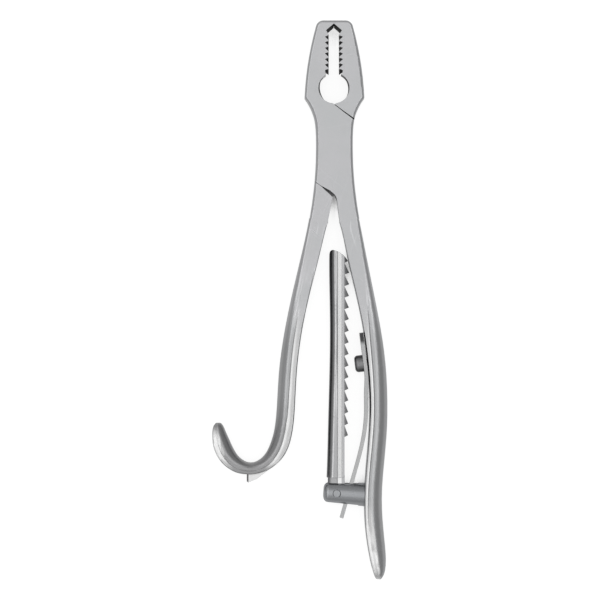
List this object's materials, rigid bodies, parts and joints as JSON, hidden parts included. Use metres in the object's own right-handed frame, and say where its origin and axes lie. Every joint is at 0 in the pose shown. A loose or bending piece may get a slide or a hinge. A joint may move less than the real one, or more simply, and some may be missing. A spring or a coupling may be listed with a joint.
{
  "type": "bone holding forceps",
  "caption": "Bone holding forceps with toothed jaws and a round seat, a box joint, a hooked finger handle and a swing-out ratchet bar held by a leaf spring.",
  "frame": {"origin": "on the joint pin's axis, on the back face of the joint", "axes": "+Y from the joint to the jaw tips, +Z out of the front face, +X to the side of the plain handle"},
  "size_m": [0.0832, 0.2655, 0.013],
  "materials": {
    "forged_steel": "satin",
    "bar_steel": "bright",
    "post_steel": "satin",
    "spring_steel": "ground",
    "screw_steel": "dark bright"
  },
  "bodies": {
    "box_body": {"box_half": "forged_steel", "joint_pin": "forged_steel", "ratchet_post": "post_steel", "swing_pin": "post_steel", "leaf_spring": "spring_steel", "spring_screw": "screw_steel"},
    "hook_body": {"hook_half": "forged_steel"},
    "bar_body": {"ratchet_bar": "bar_steel"}
  },
  "joints": [
    {"name": "jaw_pivot", "type": "hinge", "parent": "box_body", "child": "hook_body", "pos_m": [0, 0, 0.005], "axis": [0, 0, 1], "range_deg": [-40, 0]},
    {"name": "ratchet_swing", "type": "hinge", "parent": "box_body", "child": "bar_body", "pos_m": [0.0011, -0.1626, 0.005], "axis": [0, 0, 1], "range_deg": [0, 2]}
  ]
}
